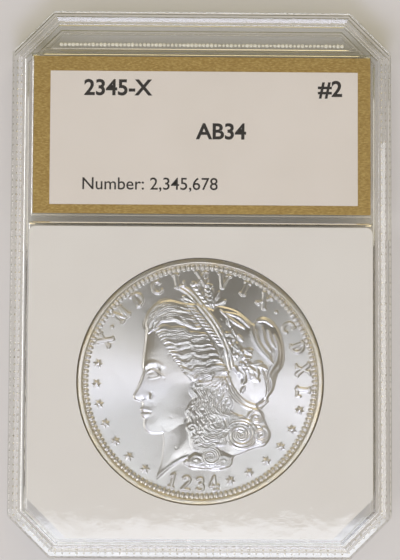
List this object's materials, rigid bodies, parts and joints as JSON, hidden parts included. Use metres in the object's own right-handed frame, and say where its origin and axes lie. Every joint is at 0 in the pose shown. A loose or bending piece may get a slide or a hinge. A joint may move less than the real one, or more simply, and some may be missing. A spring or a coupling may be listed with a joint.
{
  "type": "graded coin slab",
  "caption": "Sealed clear holder: two welded shells with a stacking rim around a white insert, a large silver coin and a gold-edged label.",
  "frame": {"origin": "centre of the back face that the slab lies on", "axes": "+Z out of the front window, +Y along the height towards the label end, +X to the right when the coin is read"},
  "size_m": [0.0586, 0.0844, 0.0076],
  "materials": {
    "clear_shell": "polished clear polystyrene, lightly scuffed on the rim",
    "weld": "melted clear polystyrene, cloudy with small bubbles",
    "white_insert": "fine satin, warm white",
    "silver": "frosted mint lustre with faint yellow toning at the rim",
    "gold_card": "metallic gold ink, satin",
    "white_sheet": "matte white paper with dark grey print"
  },
  "bodies": {
    "root": {"back_shell": "clear_shell", "front_shell": "clear_shell", "rim_weld": "weld", "header_weld": "weld", "coin_insert": "white_insert", "coin": "silver", "label_card": "gold_card", "label_sheet": "white_sheet"}
  },
  "joints": []
}
